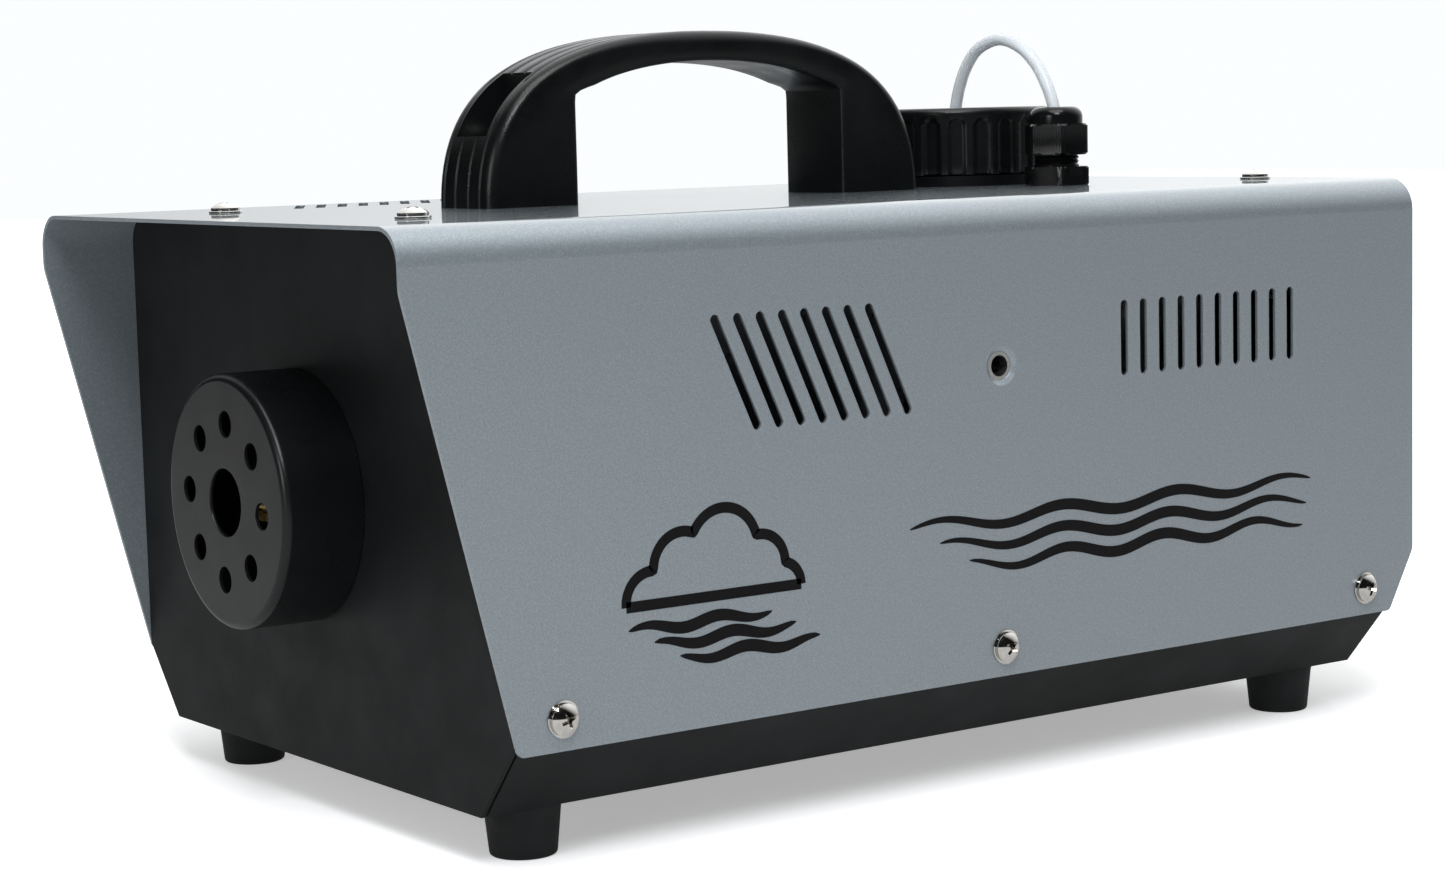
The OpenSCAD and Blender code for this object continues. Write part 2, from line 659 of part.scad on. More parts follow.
module pump_grommets() color([0.08, 0.08, 0.08])
    for (y = [16, 76 - sheet]) facing_rear(pump_x, y, pump_z) difference() {
        union() {
            cylinder(r = 10.9, h = sheet + 2);
            cylinder(r = 13, h = 0.9);
            translate([0, 0, sheet + 1.1]) cylinder(r = 13, h = 0.9);
        }
        translate([0, 0, -1]) cylinder(r = 9.05, h = 10);
    }

module delivery_pipe() color([0.8, 0.5, 0.35])
    swept(smooth(pipe_route, 4), 2, 10, [1, 0, 0]);

// ---- heater ----

module heater_inlet() color([0.72, 0.58, 0.28])
    facing_rear(20, heater_y[1], nozzle_z) difference() {
        union() {
            cylinder(d = 12 / cos(30), h = 4, $fn = 6);
            translate([0, 0, 3.9]) cylinder(r = 3.6, h = 2.1);
        }
        translate([0, 0, 4.2]) cylinder(r = 2.7, h = 3);
        translate([0, 0, -1]) cylinder(r = 1.5, h = 9);
    }

module heater_section(extra) translate([0, nozzle_z])
    square([heater_w + 2 * extra, heater_h + 2 * extra], center = true);

module heater_block() color([0.74, 0.75, 0.76]) difference() {
    along_y(heater_y[0], heater_y[1]) heater_section(0);
    facing_front(0, heater_y[1] + 1, nozzle_z) cylinder(r = 3, h = 120);
    for (s = [-1, 1]) facing_front(18 * s, heater_y[1] + 1, nozzle_z - 12)
        cylinder(r = 5.1, h = 96);
}

module heater_rods() color([0.6, 0.58, 0.55]) for (s = [-1, 1])
    facing_rear(18 * s, heater_y[1] - 94, nozzle_z - 12) {
        cylinder(r = 5, h = 97);
        translate([0, 0, 96.9]) cylinder(r = 1.6, h = 6);
    }

// Opening over the thermostats on top of the block
module thermostat_window() span([-26, -122, nozzle_z + heater_h / 2 - 1],
    [26, -78, nozzle_z + heater_h / 2 + 30]);

module heater_lagging() color([0.9, 0.88, 0.8]) difference() {
    along_y(heater_y[0] + 2, heater_y[1] - 2) difference() {
        heater_section(lagging);
        heater_section(0);
    }
    thermostat_window();
}

module heater_shield() color([0.7, 0.71, 0.72]) difference() {
    along_y(heater_y[0] + 2, heater_y[1] - 2) difference() {
        heater_section(lagging + 0.8);
        heater_section(lagging);
    }
    thermostat_window();
}

module heater_brackets() color([0.62, 0.64, 0.64]) {
    top = nozzle_z - heater_h / 2 - lagging - 0.8;
    for (y = [-138, -72]) {
        span([-36, y, floor_z], [36, y + sheet, top]);
        span([-36, y, floor_z], [36, y + 12, floor_z + sheet]);
        span([-36, y, top - sheet], [36, y + 12, top]);
    }
}

module thermostats() color([0.85, 0.83, 0.78])
    for (p = [[-12, -110], [12, -90]])
        translate([p.x, p.y, nozzle_z + heater_h / 2]) {
            cylinder(r = 8, h = 5);
            translate([0, 0, 4.9]) cylinder(r = 6, h = 5);
            for (s = [-1, 1]) translate([4 * s - 0.4, -2.4, 9]) cube([0.8, 4.8, 8]);
        }

module heater_wires() color([0.7, 0.08, 0.06])
    swept(smooth(heater_wire_route, 4), 2.2, 8, [0, 0, 1]);

// ---- control electronics ----

module control_board() color([0.1, 0.35, 0.2]) difference() {
    span([board_x[0], board_y[0], board_z], [board_x[1], board_y[1], board_z + 1.6]);
    board_corners() translate([0, 0, board_z - 1]) cylinder(r = 1.6, h = 4);
}

module board_corners() for (x = [board_x[0] + 4, board_x[1] - 4],
    y = [board_y[0] + 4, board_y[1] - 4]) translate([x, y, 0]) children();

module board_standoffs() color([0.85, 0.85, 0.82]) board_corners() {
    translate([0, 0, floor_z]) cylinder(r = 3, h = board_z - floor_z);
    translate([0, 0, board_z - 0.1]) cylinder(r = 1.5, h = 3);
}

module on_board(x, y) translate([board_x[0] + x, board_y[0] + y, board_z + 1.6]) children();

module board_relay() color([0.1, 0.2, 0.55]) on_board(10, 30) cube([19, 15.5, 15.5]);

module board_transformer() color([0.2, 0.2, 0.18]) on_board(8, 3) {
    cube([30, 24, 6]);
    translate([4, 2, 5.9]) cube([22, 20, 14]);
}

module terminal_block() color([0.15, 0.45, 0.25]) on_board(58, 8) difference() {
    cube([9, 38, 11]);
    for (i = [0:5]) translate([4.5, 4.2 + 5.9 * i, 7]) cylinder(r = 1.8, h = 5);
}

module mains_wires() color([0.25, 0.2, 0.15])
    swept(smooth(mains_wire_route, 3), 2.2, 8, [0, 0, 1]);

// ---- rear plate fittings ----

module iec_inlet() color([0.05, 0.05, 0.055]) facing_rear(fit_x, rear_y, inlet_z) difference() {
    union() {
        linear_extrude(height = 3) round_rect(50, 28, 5);
        translate([0, 0, -22]) linear_extrude(height = 22.1) square([27.4, 20.4], center = true);
    }
    translate([0, 0, -15]) linear_extrude(height = 20) round_rect(24.2, 16.4, 3);
    for (s = [-1, 1]) translate([20 * s, 0, -1]) cylinder(r = 1.7, h = 6);
}

module iec_pins() color([0.78, 0.76, 0.7]) facing_rear(fit_x, rear_y, inlet_z)
    for (p = [[-7, 2], [7, 2], [0, -2]]) translate([p.x - 1, p.y - 2, -15]) cube([2, 4, 13]);

module inlet_screws() color([0.8, 0.79, 0.76]) for (s = [-1, 1])
    facing_rear(fit_x + 20 * s, rear_y + 3, inlet_z) {
        cylinder(r1 = 2.9, r2 = 2.2, h = 1.4);
        translate([0, 0, -9]) cylinder(r = 1.5, h = 9.1);
    }

module switch_housing() color([0.05, 0.05, 0.055])
    facing_rear(fit_x, rear_y, switch_z) difference() {
        union() {
            linear_extrude(height = 2) round_rect(21, 15, 1.5);
            translate([0, 0, -16]) linear_extrude(height = 16.1) square([19, 12.8], center = true);
        }
        difference() {
            translate([-8.2, -5.4, -7]) cube([16.4, 10.8, 12]);
            translate([0, 0, -1]) rotate([90, 0, 0]) cylinder(r = 0.72, h = 12, center = true);
        }
    }

module switch_rocker() color([0.5, 0.06, 0.05])
    translate([fit_x, rear_y - 1, switch_z]) rotate([0, 0, 11]) difference() {
        union() {
            linear_extrude(height = 9.8, center = true)
                polygon([[-7.4, 3.2], [0, 2], [7.4, 3.2], [6.6, -0.6], [0, -4.2], [-6.6, -0.6]]);
            cylinder(r = 2.2, h = 9.8, center = true);
        }
        cylinder(r = 0.8, h = 12, center = true);
    }

module fuse_holder() color([0.05, 0.05, 0.055]) facing_rear(fit_x, rear_y, fuse_z) difference() {
    union() {
        cylinder(r = 8, h = 2);
        translate([0, 0, -26]) cylinder(r = 6, h = 26.1);
    }
    translate([0, 0, -22]) cylinder(r = 4.9, h = 30);
}

module fuse_cap() color([0.08, 0.08, 0.085]) facing_rear(fit_x, rear_y, fuse_z) difference() {
    union() {
        translate([0, 0, -8]) cylinder(r = 4.84, h = 11);
        translate([0, 0, 2.3]) cylinder(r = 6.6, h = 4);
    }
    translate([0, 0, 6.3]) cube([9, 1.4, 3], center = true);
}

module remote_socket() color([0.72, 0.72, 0.7]) facing_rear(fit_x, rear_y, remote_z) difference() {
    union() {
        linear_extrude(height = 1.6) round_rect(28, 20, 4);
        translate([0, 0, -12]) cylinder(r = 7.6, h = 12.1);
        cylinder(r = 8.4, h = 3);
    }
    for (a = [0:45:180]) rotate(a) translate([3.6, 0, -6]) cylinder(r = 0.9, h = 12, $fn = 24);
}

top_cover();
chassis_tray();
front_plate();
rear_plate();
bulkhead();
nozzle_shroud();
nozzle_tip();
carry_handle();
long_screws();
top_screws();
side_screws();
hex_nuts();
hanging_nuts();
foot_front_left();
foot_front_right();
foot_rear_left();
foot_rear_right();
fluid_tank();
tank_neck();
tank_strap();
neck_ring();
tank_cap();
cap_liner();
intake_hose();
intake_strainer();
gland_body();
gland_nut();
gland_seal();
gland_locknut();
level_window();
pump_coil();
pump_yoke();
pump_body();
pump_piston();
pump_spring();
pump_cradle();
pump_grommets();
delivery_pipe();
heater_inlet();
heater_block();
heater_rods();
heater_lagging();
heater_shield();
heater_brackets();
thermostats();
heater_wires();
control_board();
board_standoffs();
board_relay();
board_transformer();
terminal_block();
mains_wires();
iec_inlet();
iec_pins();
inlet_screws();
switch_housing();
switch_rocker();
fuse_holder();
fuse_cap();
remote_socket();
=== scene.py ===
import json
import math

import bmesh
import bpy
from mathutils import Matrix, Vector


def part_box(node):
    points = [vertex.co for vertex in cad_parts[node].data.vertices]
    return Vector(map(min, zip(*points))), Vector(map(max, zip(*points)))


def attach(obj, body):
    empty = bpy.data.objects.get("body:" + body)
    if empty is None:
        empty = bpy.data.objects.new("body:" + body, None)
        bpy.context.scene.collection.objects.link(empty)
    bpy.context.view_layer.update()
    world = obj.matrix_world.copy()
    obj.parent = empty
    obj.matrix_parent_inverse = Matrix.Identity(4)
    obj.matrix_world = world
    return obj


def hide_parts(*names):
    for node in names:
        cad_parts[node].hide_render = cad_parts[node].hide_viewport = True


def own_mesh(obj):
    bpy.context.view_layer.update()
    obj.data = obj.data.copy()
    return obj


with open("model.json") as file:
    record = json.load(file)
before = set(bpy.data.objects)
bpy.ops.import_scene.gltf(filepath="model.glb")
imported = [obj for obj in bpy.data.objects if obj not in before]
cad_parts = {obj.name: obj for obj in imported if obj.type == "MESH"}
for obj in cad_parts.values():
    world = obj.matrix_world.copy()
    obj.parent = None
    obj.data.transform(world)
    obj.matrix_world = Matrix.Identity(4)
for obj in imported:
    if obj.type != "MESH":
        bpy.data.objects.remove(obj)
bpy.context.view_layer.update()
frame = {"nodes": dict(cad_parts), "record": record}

MM = 0.001
TAU = 2 * math.pi

# ---- driving places, from the frame ----

cover_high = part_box("top_cover")[1]
HALF_W = cover_high.x
TOP = cover_high.z
ring_low, ring_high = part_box("neck_ring")
CAP_AT = Vector(((ring_low.x + ring_high.x) / 2, (ring_low.y + ring_high.y) / 2, 0))
nut_low, nut_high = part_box("gland_nut")
GLAND_AT = Vector(((nut_low.x + nut_high.x) / 2, (nut_low.y + nut_high.y) / 2, 0))
shroud_low, shroud_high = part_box("nozzle_shroud")

# ---- camera ----

LENS_MM = 74.76
CAMERA_AT = Vector((0.83776, -0.61003, 0.2189))
AZIMUTH, ELEVATION, ROLL = math.radians(54.395), math.radians(6.361), math.radians(-1.45)


def add_camera():
    back = Vector((math.sin(AZIMUTH) * math.cos(ELEVATION),
                   -math.cos(AZIMUTH) * math.cos(ELEVATION), math.sin(ELEVATION)))
    level = Vector((math.cos(AZIMUTH), math.sin(AZIMUTH), 0))
    upright = back.cross(level)
    right = level * math.cos(ROLL) + upright * math.sin(ROLL)
    up = upright * math.cos(ROLL) - level * math.sin(ROLL)
    data = bpy.data.cameras.new("camera")
    data.lens = LENS_MM
    data.sensor_width = 36
    camera = bpy.data.objects.new("camera", data)
    turn = Matrix((right, up, back)).transposed().to_4x4()
    camera.matrix_world = Matrix.Translation(CAMERA_AT) @ turn
    bpy.context.scene.collection.objects.link(camera)
    bpy.context.scene.camera = camera


# ---- mesh helpers ----

def as_object(name, verts, faces, sharp_deg=35):
    mesh = bpy.data.meshes.new(name)
    mesh.from_pydata([tuple(v) for v in verts], [], faces)
    tidy = bmesh.new()
    tidy.from_mesh(mesh)
    bmesh.ops.recalc_face_normals(tidy, faces=tidy.faces)
    tidy.to_mesh(mesh)
    tidy.free()
    obj = bpy.data.objects.new(name, mesh)
    bpy.context.scene.collection.objects.link(obj)
    shade(obj, sharp_deg)
    return obj


def shade(obj, sharp_deg):
    mesh = obj.data
    mesh.polygons.foreach_set("use_smooth", [True] * len(mesh.polygons))
    mesh.set_sharp_from_angle(angle=math.radians(sharp_deg))


def settle(obj, sharp_deg=35, reshade=True):
    """Turns an object's modifiers into plain mesh."""
    bpy.context.view_layer.update()
    seen = obj.evaluated_get(bpy.context.evaluated_depsgraph_get())
    mesh = bpy.data.meshes.new_from_object(seen)
    obj.modifiers.clear()
    obj.data = mesh
    if reshade:
        shade(obj, sharp_deg)
    return obj


def cut(obj, cutters):
    """Takes the cutters' shapes out of an object and removes the cutters."""
    for cutter in cutters:
        boolean = obj.modifiers.new("cut", "BOOLEAN")
        boolean.operation = "DIFFERENCE"
        boolean.solver = "EXACT"
        boolean.object = cutter
    settle(obj)
    for cutter in cutters:
        bpy.data.objects.remove(cutter)
    return obj


def round_edges(obj, width, segments=2, angle_deg=35, sharp_deg=35):
    bevel = obj.modifiers.new("round", "BEVEL")
    bevel.width = width
    bevel.segments = segments
    bevel.limit_method = "ANGLE"
    bevel.angle_limit = math.radians(angle_deg)
    bevel.use_clamp_overlap = True
    weighted = obj.modifiers.new("weighted", "WEIGHTED_NORMAL")
    weighted.keep_sharp = True
    return settle(obj, sharp_deg, reshade=False)


def lathe(name, rows, steps=96, closed=False, radius=None, sharp_deg=35):
    """Turned solid. A row is (radius, height); a radius of 0 is a point on the axis.
    The function radius(row, r, angle, z) may change a row's radius round the axis."""
    verts, rings = [], []
    for index, (r, z) in enumerate(rows):
        if r == 0:
            rings.append([len(verts)])
            verts.append((0, 0, z))
            continue
        ring = []
        for step in range(steps):
            a = TAU * step / steps
            at = radius(index, r, a, z) if radius else r
            ring.append(len(verts))
            verts.append((at * math.cos(a), at * math.sin(a), z))
        rings.append(ring)
    pairs = list(zip(rings, rings[1:])) + ([(rings[-1], rings[0])] if closed else [])
    faces = []
    for low, high in pairs:
        for k in range(steps):
            m = (k + 1) % steps
            if len(low) == 1:
                faces.append((low[0], high[m], high[k]))
            elif len(high) == 1:
                faces.append((low[k], low[m], high[0]))
            else:
                faces.append((low[k], low[m], high[m], high[k]))
    return as_object(name, verts, faces, sharp_deg)


def prism(name, outline, z0, z1, top_scale=1.0, sharp_deg=35):
    """Prism on a flat outline from z0 to z1, where it may be scaled about the axis."""
    n = len(outline)
    verts = [(x, y, z0) for x, y in outline]
    verts += [(x * top_scale, y * top_scale, z1) for x, y in outline]
    faces = [tuple(range(n - 1, -1, -1)), tuple(range(n, 2 * n))]
    faces += [(k, (k + 1) % n, n + (k + 1) % n, n + k) for k in range(n)]
    return as_object(name, verts, faces, sharp_deg)


def place(obj, matrix):
    obj.data.transform(matrix)
    return obj


def joined(name, objects, sharp_deg=35):
    """One object made of the given ones, which are removed."""
    merged = bmesh.new()
    for obj in objects:
        merged.from_mesh(obj.data)
    mesh = bpy.data.meshes.new(name)
    merged.to_mesh(mesh)
    merged.free()
    for obj in objects:
        bpy.data.objects.remove(obj)
    result = bpy.data.objects.new(name, mesh)
    bpy.context.scene.collection.objects.link(result)
    shade(result, sharp_deg)
    return result


def copied(obj, matrix):
    twin = bpy.data.objects.new(obj.name, obj.data.copy())
    bpy.context.scene.collection.objects.link(twin)
    return place(twin, matrix)


def facing(direction, at, spin_deg=0):
    """Matrix that stands a shape modelled on +Z on a point, looking along a direction."""
    turn = Vector((0, 0, 1)).rotation_difference(Vector(direction)).to_matrix().to_4x4()
    return Matrix.Translation(at) @ turn @ Matrix.Rotation(math.radians(spin_deg), 4, "Z")


def smooth_path(route, steps):
    """Points along a smooth curve through the route's own points."""
    points = [Vector(p) for p in route]
    path = []
    for i in range(len(points) - 1):
        p0, p1 = points[max(i - 1, 0)], points[i]
        p2, p3 = points[i + 1], points[min(i + 2, len(points) - 1)]
        for k in range(steps):
            t = k / steps
            path.append(0.5 * (2 * p1 + (p2 - p0) * t
                               + (2 * p0 - 5 * p1 + 4 * p2 - p3) * t * t
                               + (3 * p1 - p0 - 3 * p2 + p3) * t ** 3))
    return path + [points[-1]]


def tube(name, path, r_out, r_in=0.0, sides=20):
    """Tube along a path, hollow where r_in is more than 0."""
    frames, side = [], None
    for i, point in enumerate(path):
        ahead = (path[min(i + 1, len(path) - 1)] - path[max(i - 1, 0)]).normalized()
        side = side or ahead.orthogonal()
        side = (side - ahead * side.dot(ahead)).normalized()
        frames.append((point, side.copy(), ahead.cross(side)))
    verts, faces = [], []
    radii = [r_out, r_in] if r_in else [r_out]
    for r in radii:
        for point, u, v in frames:
            verts += [point + r * (math.cos(TAU * k / sides) * u + math.sin(TAU * k / sides) * v)
                      for k in range(sides)]
    rings = len(path)
    for wall in range(len(radii)):
        base = wall * rings * sides
        for i in range(rings - 1):
            for k in range(sides):
                m = (k + 1) % sides
                a, b = base + i * sides, base + (i + 1) * sides
                faces.append((a + k, a + m, b + m, b + k))
    last = (rings - 1) * sides
    if r_in:
        inner = rings * sides
        for k in range(sides):
            m = (k + 1) % sides
            faces.append((k, inner + k, inner + m, m))
            faces.append((last + k, last + m, inner + last + m, inner + last + k))
    else:
        faces.append(tuple(range(sides)))
        faces.append(tuple(last + k for k in range(sides)))
    return as_object(name, verts, faces)


# ---- material helpers ----

def new_material(name):
    material = bpy.data.materials.new(name)
    material.use_nodes = True
    tree = material.node_tree
    return material, tree, tree.nodes["Principled BSDF"]


def noise(tree, scale, detail=3.0):
    where = tree.nodes.new("ShaderNodeTexCoord")
    node = tree.nodes.new("ShaderNodeTexNoise")
    node.inputs["Scale"].default_value = scale
    node.inputs["Detail"].default_value = detail
    tree.links.new(where.outputs["Object"], node.inputs["Vector"])
    return node


def spread(tree, socket, low, high, clip=(0.3, 0.7)):
    """Maps the stretch of a value given by clip to the range from low to high."""
    node = tree.nodes.new("ShaderNodeMapRange")
    node.inputs["From Min"].default_value = clip[0]
    node.inputs["From Max"].default_value = clip[1]
    node.inputs["To Min"].default_value = low
    node.inputs["To Max"].default_value = high
    tree.links.new(socket, node.inputs["Value"])
    return node.outputs["Result"]


def blend_colours(tree, factor, first, second):
    node = tree.nodes.new("ShaderNodeMix")
    node.data_type = "RGBA"
    sockets = [s for s in node.inputs if s.name in ("A", "B") and s.type == "RGBA"]
    for socket, value in zip(sockets, (first, second)):
        if isinstance(value, tuple):
            socket.default_value = (*value, 1)
        else:
            tree.links.new(value, socket)
    tree.links.new(factor, node.inputs["Factor"])
    return [s for s in node.outputs if s.type == "RGBA"][0]


def bump(tree, bsdf, layers, edge=0.0):
    """Stacks noises as relief over softly rounded edges. A layer is (scale, depth, detail)."""
    normal = None
    if edge:
        rounded = tree.nodes.new("ShaderNodeBevel")
        rounded.samples = 4
        rounded.inputs["Radius"].default_value = edge
        normal = rounded.outputs["Normal"]
    for scale, depth, detail in layers:
        node = tree.nodes.new("ShaderNodeBump")
        node.inputs["Strength"].default_value = 1.0
        node.inputs["Distance"].default_value = depth
        tree.links.new(noise(tree, scale, detail).outputs["Fac"], node.inputs["Height"])
        if normal:
            tree.links.new(normal, node.inputs["Normal"])
        normal = node.outputs["Normal"]
    tree.links.new(normal, bsdf.inputs["Normal"])


def surface(name, colour, rough, vary=0.08, vary_scale=60, rough_vary=0.05, relief=(),
            metallic=0.0, coat=0.0, coat_rough=0.1, specular=0.5, fleck=None, edge=0.0):
    """A varied opaque surface: mottled colour and gloss, and relief from noises."""
    material, tree, bsdf = new_material(name)
    mottle = noise(tree, vary_scale, 4)
    dark = tuple(c * (1 - vary) for c in colour)
    light = tuple(min(c * (1 + vary), 1) for c in colour)
    shown = blend_colours(tree, spread(tree, mottle.outputs["Fac"], 0, 1), dark, light)
    if fleck:
        scale, amount, tint = fleck
        specks = noise(tree, scale, 1)
        shown = blend_colours(tree, spread(tree, specks.outputs["Fac"], 0, amount, (0.45, 0.8)),
                              shown, tint)
    tree.links.new(shown, bsdf.inputs["Base Color"])
    gloss = noise(tree, vary_scale * 2.3, 3)
    tree.links.new(spread(tree, gloss.outputs["Fac"], rough - rough_vary, rough + rough_vary),
                   bsdf.inputs["Roughness"])
    bsdf.inputs["Metallic"].default_value = metallic
    bsdf.inputs["Coat Weight"].default_value = coat
    bsdf.inputs["Coat Roughness"].default_value = coat_rough
    bsdf.inputs["Specular IOR Level"].default_value = specular
    if relief:
        bump(tree, bsdf, relief, edge)
    return material


def clear_plastic(name, colour, rough, ior=1.45, haze=0.0):
    """See-through moulded plastic, with a little cloudiness."""
    material, tree, bsdf = new_material(name)
    mottle = noise(tree, 140, 3)
    dim = tuple(c * 0.94 for c in colour)
    shown = blend_colours(tree, spread(tree, mottle.outputs["Fac"], 0, 1), dim, colour)
    tree.links.new(shown, bsdf.inputs["Base Color"])
    tree.links.new(spread(tree, noise(tree, 300, 2).outputs["Fac"], rough * 0.7, rough * 1.3),
                   bsdf.inputs["Roughness"])
    bsdf.inputs["IOR"].default_value = ior
    bsdf.inputs["Transmission Weight"].default_value = 1.0 - haze
    return material


def board_material(name):
    """Green solder mask with rows of lighter green traces under it."""
    material, tree, bsdf = new_material(name)
    where = tree.nodes.new("ShaderNodeTexCoord")
    traces = tree.nodes.new("ShaderNodeTexBrick")
    traces.inputs["Scale"].default_value = 120
    traces.inputs["Mortar Size"].default_value = 0.012
    traces.inputs["Color1"].default_value = (0.02, 0.13, 0.06, 1)
    traces.inputs["Color2"].default_value = (0.024, 0.15, 0.07, 1)
    traces.inputs["Mortar"].default_value = (0.06, 0.26, 0.12, 1)
    tree.links.new(where.outputs["Object"], traces.inputs["Vector"])
    tree.links.new(traces.outputs["Color"], bsdf.inputs["Base Color"])
    tree.links.new(spread(tree, noise(tree, 200).outputs["Fac"], 0.25, 0.4),
                   bsdf.inputs["Roughness"])
    return material


def woven_material(name, colour):
    """Woven glass-fibre cloth."""
    material, tree, bsdf = new_material(name)
    where = tree.nodes.new("ShaderNodeTexCoord")
    weave = tree.nodes.new("ShaderNodeTexVoronoi")
    weave.inputs["Scale"].default_value = 600
    tree.links.new(where.outputs["Object"], weave.inputs["Vector"])
    dark = tuple(c * 0.7 for c in colour)
    shown = blend_colours(tree, spread(tree, weave.outputs["Distance"], 0, 1, (0, 0.7)),
                          colour, dark)
    tree.links.new(shown, bsdf.inputs["Base Color"])
    bsdf.inputs["Roughness"].default_value = 0.9
    relief = tree.nodes.new("ShaderNodeBump")
    relief.inputs["Distance"].default_value = 0.0004
    tree.links.new(weave.outputs["Distance"], relief.inputs["Height"])
    tree.links.new(relief.outputs["Normal"], bsdf.inputs["Normal"])
    return material


def make_materials():
    grain = (1500, 0.00004, 2)
    return {
        "cover_paint": surface(
            "cover_paint", (0.2, 0.233, 0.255), 0.42, vary=0.05, vary_scale=900,
            rough_vary=0.03, metallic=0.55, coat=0.9, coat_rough=0.035,
            relief=[(1500, 0.000004, 1), (260, 0.000012, 2)],
            fleck=(1900, 0.5, (0.36, 0.4, 0.42)), edge=0.0004),
        "black_paint": surface(
            "black_paint", (0.0062, 0.007, 0.0074), 0.5, vary=0.25, vary_scale=25,
            rough_vary=0.05, specular=0.14, relief=[(2200, 0.00003, 2), (420, 0.00002, 2)],
            edge=0.0005),
        "shroud_paint": surface(
            "shroud_paint", (0.004, 0.0045, 0.005), 0.3, vary=0.2, vary_scale=30,
            rough_vary=0.04, specular=0.3, relief=[(1800, 0.000012, 2)]),
        "zinc_sheet": surface(
            "zinc_sheet", (0.46, 0.48, 0.5), 0.36, vary=0.18, vary_scale=90, metallic=0.9,
            rough_vary=0.1, relief=[(300, 0.00002, 2)]),
        "nickel_screw": surface(
            "nickel_screw", (0.62, 0.6, 0.57), 0.09, vary=0.1, vary_scale=500, metallic=1.0,
            rough_vary=0.04, relief=[(1400, 0.000004, 2)]),
        "zinc_steel": surface(
            "zinc_steel", (0.56, 0.56, 0.54), 0.3, vary=0.12, vary_scale=300, metallic=1.0,
            rough_vary=0.08, relief=[(1200, 0.00001, 2)]),
        "abs_black": surface(
            "abs_black", (0.003, 0.0034, 0.0036), 0.3, vary=0.2, vary_scale=35,
            rough_vary=0.06, specular=0.24, relief=[grain, (260, 0.00003, 2)]),
        "nylon_black": surface(
            "nylon_black", (0.004, 0.0042, 0.0045), 0.18, vary=0.2, vary_scale=60,
            rough_vary=0.05, specular=0.2, relief=[(700, 0.00001, 2)]),
        "foot_rubber": surface(
            "foot_rubber", (0.008, 0.009, 0.0095), 0.6, vary=0.25, vary_scale=70,
            rough_vary=0.08, specular=0.2, relief=[(1300, 0.00006, 3)]),
        "tank_poly": clear_plastic("tank_poly", (0.86, 0.86, 0.8), 0.45, 1.5, haze=0.55),
        "clear_hose": clear_plastic("clear_hose", (0.8, 0.84, 0.87), 0.12, 1.3, haze=0.5),
        "clear_window": clear_plastic("clear_window", (0.93, 0.95, 0.96), 0.05, 1.49),
        "liner_foam": surface(
            "liner_foam", (0.74, 0.74, 0.7), 0.7, vary=0.05, vary_scale=200,
            relief=[(1500, 0.00004, 3)]),
        "brass": surface(
            "brass", (0.72, 0.5, 0.18), 0.28, vary=0.15, vary_scale=150, metallic=1.0,
            rough_vary=0.1, relief=[(900, 0.00001, 2)]),
        "cast_alloy": surface(
            "cast_alloy", (0.55, 0.56, 0.57), 0.5, vary=0.12, vary_scale=120, metallic=0.9,
            rough_vary=0.1, relief=[(900, 0.0001, 4)]),
        "heat_lagging": woven_material("heat_lagging", (0.72, 0.68, 0.58)),
        "copper_pipe": surface(
            "copper_pipe", (0.68, 0.34, 0.2), 0.3, vary=0.2, vary_scale=120, metallic=1.0,
            rough_vary=0.1, relief=[(700, 0.00001, 2)]),
        "coil_resin": surface(
            "coil_resin", (0.02, 0.02, 0.026), 0.3, vary=0.2, vary_scale=80,
            relief=[(600, 0.00002, 2)]),
        "ceramic_body": surface(
            "ceramic_body", (0.68, 0.64, 0.56), 0.7, vary=0.08, vary_scale=200,
            relief=[(1500, 0.00003, 3)]),
        "silicone_red": surface(
            "silicone_red", (0.42, 0.025, 0.018), 0.5, vary=0.12, vary_scale=200,
            relief=[(2200, 0.00004, 2)]),
        "pvc_brown": surface(
            "pvc_brown", (0.1, 0.055, 0.03), 0.45, vary=0.15, vary_scale=200,
            relief=[(1500, 0.00002, 2)]),
        "board_green": board_material("board_green"),
        "relay_blue": surface(
            "relay_blue", (0.025, 0.07, 0.32), 0.3, vary=0.1, vary_scale=200,
            relief=[(1200, 0.00001, 2)]),
        "core_steel": surface(
            "core_steel", (0.09, 0.085, 0.075), 0.45, vary=0.25, vary_scale=400, metallic=0.4,
            relief=[(2500, 0.00004, 1)]),
        "terminal_green": surface(
            "terminal_green", (0.04, 0.22, 0.09), 0.45, vary=0.1, vary_scale=200,
            relief=[(1500, 0.00002, 2)]),
        "switch_red": surface(
            "switch_red", (0.38, 0.014, 0.01), 0.2, vary=0.1, vary_scale=150, coat=0.3,
            relief=[(900, 0.000006, 2)]),
        "mesh_bronze": surface(
            "mesh_bronze", (0.42, 0.32, 0.16), 0.6, vary=0.3, vary_scale=900, metallic=0.8,
            relief=[(2200, 0.00015, 2)]),
        "print_ink": surface(
            "print_ink", (0.004, 0.004, 0.0045), 0.5, vary=0.15, vary_scale=300,
            specular=0.1, relief=[(2600, 0.00001, 1)]),
    }


def dress(obj, material):
    obj.data.materials.clear()
    obj.data.materials.append(material)


def piece(obj, body, material_slot, *nodes):
    """Dresses a piece, makes it ride on a body, and lets it stand for CAD nodes."""
    dress(obj, MATERIALS[material_slot])
    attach(obj, body)
    if nodes:
        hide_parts(*nodes)
    return obj


# ---- carried-over CAD nodes ----

def dress_cad_nodes():
    for entry in frame["record"]["subparts"]:
        obj = frame["nodes"][entry["node"]]
        material = MATERIALS[entry["material_slot"]]
        if len(obj.material_slots) == 0:
            obj.data.materials.append(material)
        for material_slot in obj.material_slots:
            material_slot.material = material


# ---- carrying handle ----

